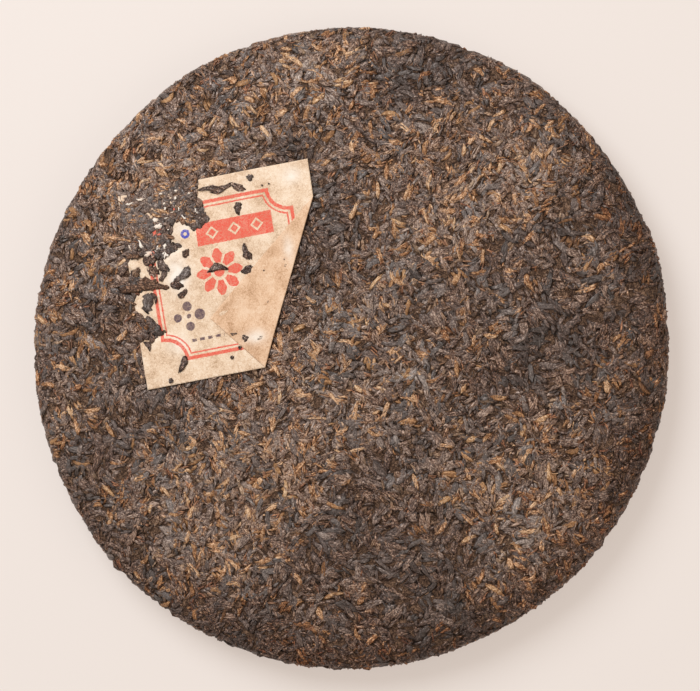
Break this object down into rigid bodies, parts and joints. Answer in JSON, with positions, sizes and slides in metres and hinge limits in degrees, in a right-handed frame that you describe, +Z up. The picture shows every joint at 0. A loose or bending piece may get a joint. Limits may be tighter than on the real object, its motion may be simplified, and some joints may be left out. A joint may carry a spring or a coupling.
{
  "type": "pu erh tea cake",
  "caption": "Round cake of pressed dark tea with a low domed front, a rounded rim, a hollow in the flat back and a paper ticket pressed into the front.",
  "frame": {"origin": "middle of the cake's box on the surface that it lies on", "axes": "+Z up, through the middle of the domed front; +Y towards the top of the cake as the picture shows it; +X towards its right"},
  "size_m": [0.2008, 0.2002, 0.0227],
  "materials": {
    "tea_leaf": "pressed dry leaf, dark brown to slate with golden tips, low sheen",
    "ticket_paper": "thin mottled rice paper with a plain red and grey-violet print, matte"
  },
  "bodies": {
    "root": {"tea_cake": "tea_leaf", "paper_ticket": "ticket_paper"}
  },
  "joints": []
}
